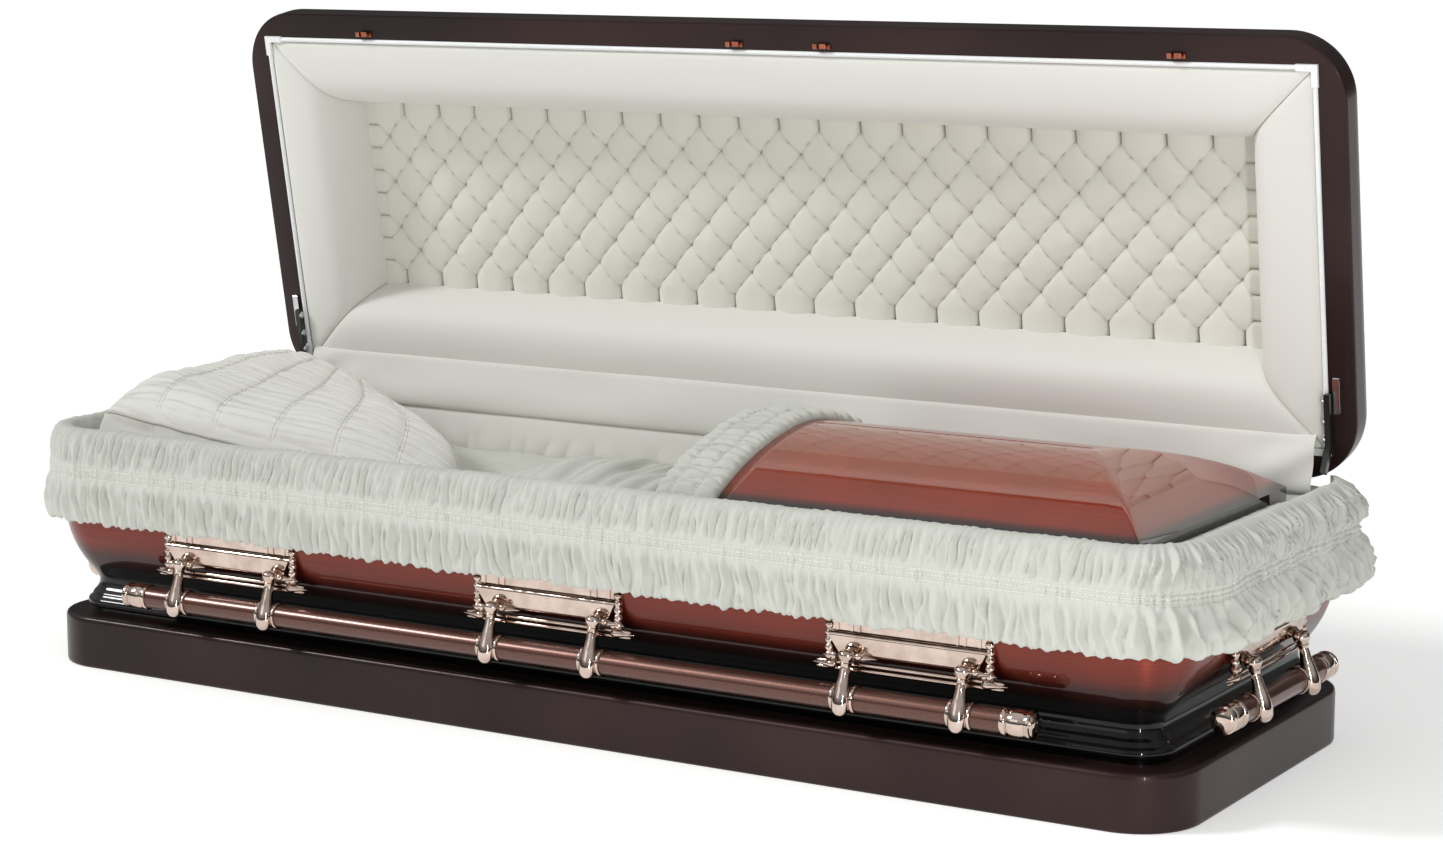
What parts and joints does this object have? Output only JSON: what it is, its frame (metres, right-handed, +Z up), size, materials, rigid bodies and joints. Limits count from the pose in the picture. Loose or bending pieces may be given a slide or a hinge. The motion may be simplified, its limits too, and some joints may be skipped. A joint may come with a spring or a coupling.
{
  "type": "funeral casket",
  "caption": "Full-couch funeral casket: hollow lacquered body on a plinth, hinged domed lid with tufted lining, shirred cloth interior, foot panel and swing-bar handles.",
  "frame": {"origin": "middle of the base plinth's underside", "axes": "+X towards the foot end, -Y towards the front, +Z up"},
  "size_m": [2.1755, 0.839, 1.0992],
  "materials": {
    "plum_paint": "satin plum-brown metallic enamel",
    "brushed_lacquer": "brushed red-brown lacquer, gloss, shaded to black at the mouldings",
    "red_lacquer": "gloss red-brown lacquer, shaded to black at the edges",
    "bar_paint": "metallic brown enamel",
    "rose_gold": "polished rose-gold plate",
    "copper": "brushed copper plate",
    "chrome": "chrome plate",
    "black_steel": "black enamel",
    "white_plastic": "moulded white",
    "cream_cloth": "cream crepe",
    "tufted_cloth": "cream crepe, diamond tufted"
  },
  "bodies": {
    "casket_body": {"base_plinth": "plum_paint", "shell": "brushed_lacquer", "bed": "cream_cloth", "pillow": "cream_cloth", "overlay": "cream_cloth", "back_lining": "cream_cloth", "hinge_rail": "black_steel", "foot_panel": "red_lacquer", "foot_panel_band": "cream_cloth", "ear_plate_front_a": "rose_gold", "ear_plate_front_b": "rose_gold", "ear_plate_front_c": "rose_gold", "ear_plate_back_a": "rose_gold", "ear_plate_back_b": "rose_gold", "ear_plate_back_c": "rose_gold", "ear_plate_head": "rose_gold", "ear_plate_foot": "rose_gold"},
    "lid": {"lid_shell": "plum_paint", "lid_bead": "white_plastic", "cove_back": "cream_cloth", "cove_front": "cream_cloth", "cove_foot": "cream_cloth", "cove_head": "cream_cloth", "tufted_panel": "tufted_cloth", "latch_1": "copper", "latch_2": "copper", "latch_3": "copper", "latch_4": "copper", "hinge_arm_head": "black_steel", "hinge_arm_foot": "black_steel", "arm_bracket_head": "chrome", "arm_bracket_foot": "chrome"},
    "handle_front": {"handle_arm_front_a_1": "rose_gold", "handle_arm_front_a_2": "rose_gold", "handle_arm_front_b_1": "rose_gold", "handle_arm_front_b_2": "rose_gold", "handle_arm_front_c_1": "rose_gold", "handle_arm_front_c_2": "rose_gold", "handle_bar_front": "bar_paint", "bar_tip_front_1": "rose_gold", "bar_tip_front_2": "rose_gold"},
    "handle_back": {"handle_arm_back_a_1": "rose_gold", "handle_arm_back_a_2": "rose_gold", "handle_arm_back_b_1": "rose_gold", "handle_arm_back_b_2": "rose_gold", "handle_arm_back_c_1": "rose_gold", "handle_arm_back_c_2": "rose_gold", "handle_bar_back": "bar_paint", "bar_tip_back_1": "rose_gold", "bar_tip_back_2": "rose_gold"},
    "handle_head": {"handle_arm_head_1": "rose_gold", "handle_arm_head_2": "rose_gold", "handle_bar_head": "bar_paint", "bar_tip_head_1": "rose_gold", "bar_tip_head_2": "rose_gold"},
    "handle_foot": {"handle_arm_foot_1": "rose_gold", "handle_arm_foot_2": "rose_gold", "handle_bar_foot": "bar_paint", "bar_tip_foot_1": "rose_gold", "bar_tip_foot_2": "rose_gold"}
  },
  "joints": [
    {"name": "lid_hinge", "type": "hinge", "parent": "casket_body", "child": "lid", "pos_m": [0, 0.346, 0.397], "axis": [1, 0, 0], "range_deg": [0, 80], "deforming": ["overlay", "cove_back", "cove_front", "cove_foot", "cove_head"]},
    {"name": "handle_front_swing", "type": "hinge", "parent": "casket_body", "child": "handle_front", "pos_m": [0, -0.364, 0.205], "axis": [-1, 0, 0], "range_deg": [0, 80]},
    {"name": "handle_back_swing", "type": "hinge", "parent": "casket_body", "child": "handle_back", "pos_m": [0, 0.364, 0.205], "axis": [1, 0, 0], "range_deg": [0, 80]},
    {"name": "handle_head_swing", "type": "hinge", "parent": "casket_body", "child": "handle_head", "pos_m": [-1.059, 0, 0.205], "axis": [0, 1, 0], "range_deg": [0, 80]},
    {"name": "handle_foot_swing", "type": "hinge", "parent": "casket_body", "child": "handle_foot", "pos_m": [1.059, 0, 0.205], "axis": [0, -1, 0], "range_deg": [0, 80]}
  ]
}
